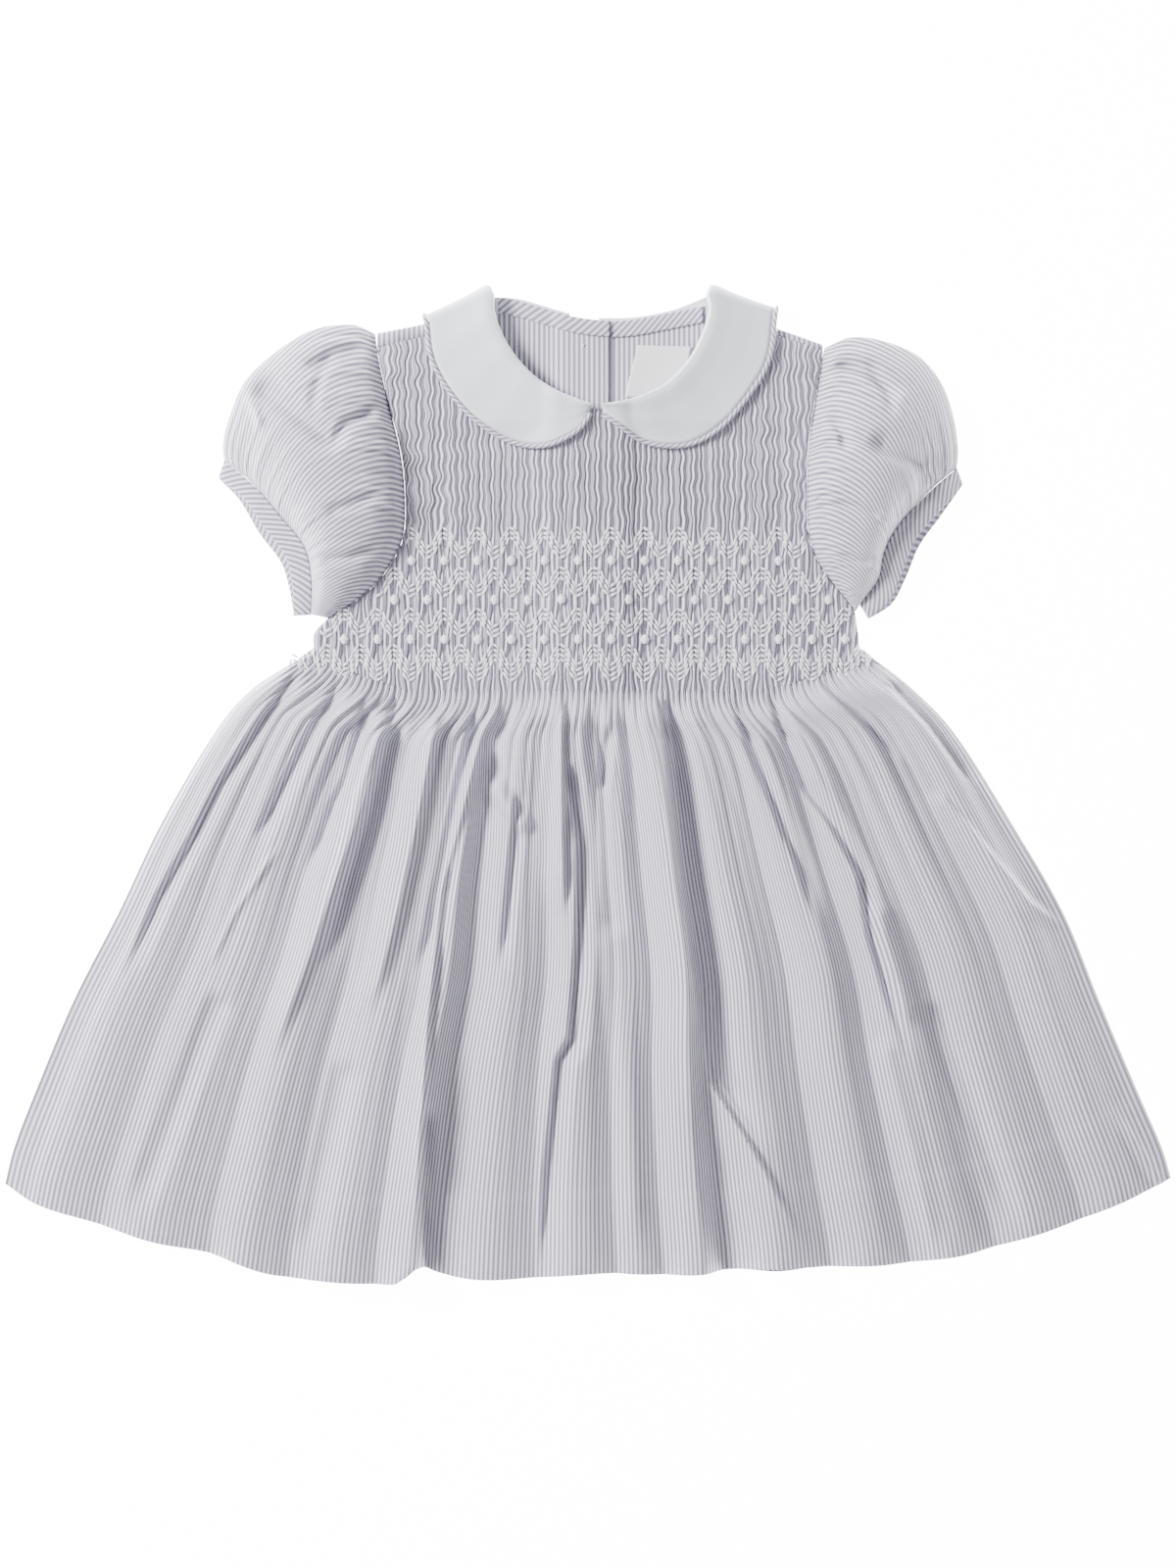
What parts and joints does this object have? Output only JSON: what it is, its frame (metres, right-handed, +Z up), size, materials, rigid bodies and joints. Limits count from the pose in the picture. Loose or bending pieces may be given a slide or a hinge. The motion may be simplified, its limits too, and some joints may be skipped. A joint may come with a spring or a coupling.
{
  "type": "smocked dress",
  "caption": "Baby's short-sleeved dress with a smocked bodice, puff sleeves, a flat collar and a gathered skirt, laid flat on its back.",
  "frame": {"origin": "middle of the underside of the dress, which lies flat on its back", "axes": "+Y towards the neck, +Z up out of the front, +X across to the right side of the view from above"},
  "size_m": [0.5134, 0.4388, 0.0224],
  "materials": {
    "stripe": "fine lilac and white striped cotton, plain weave",
    "collar": "plain white cotton",
    "thread": "white stranded embroidery thread",
    "label": "blank white woven tape",
    "button": "plain white, softly polished"
  },
  "bodies": {
    "root": {"front_panel": "stripe", "back_skirt": "stripe", "back_bodice_left": "stripe", "back_bodice_right": "stripe", "sleeve_left": "stripe", "sleeve_right": "stripe", "band_left": "stripe", "band_right": "stripe", "collar_left": "collar", "collar_right": "collar", "piping_left": "stripe", "piping_right": "stripe", "neck_binding_left": "stripe", "neck_binding_right": "stripe", "label": "label", "button_top": "button", "button_middle": "button", "button_bottom": "button"}
  },
  "joints": []
}
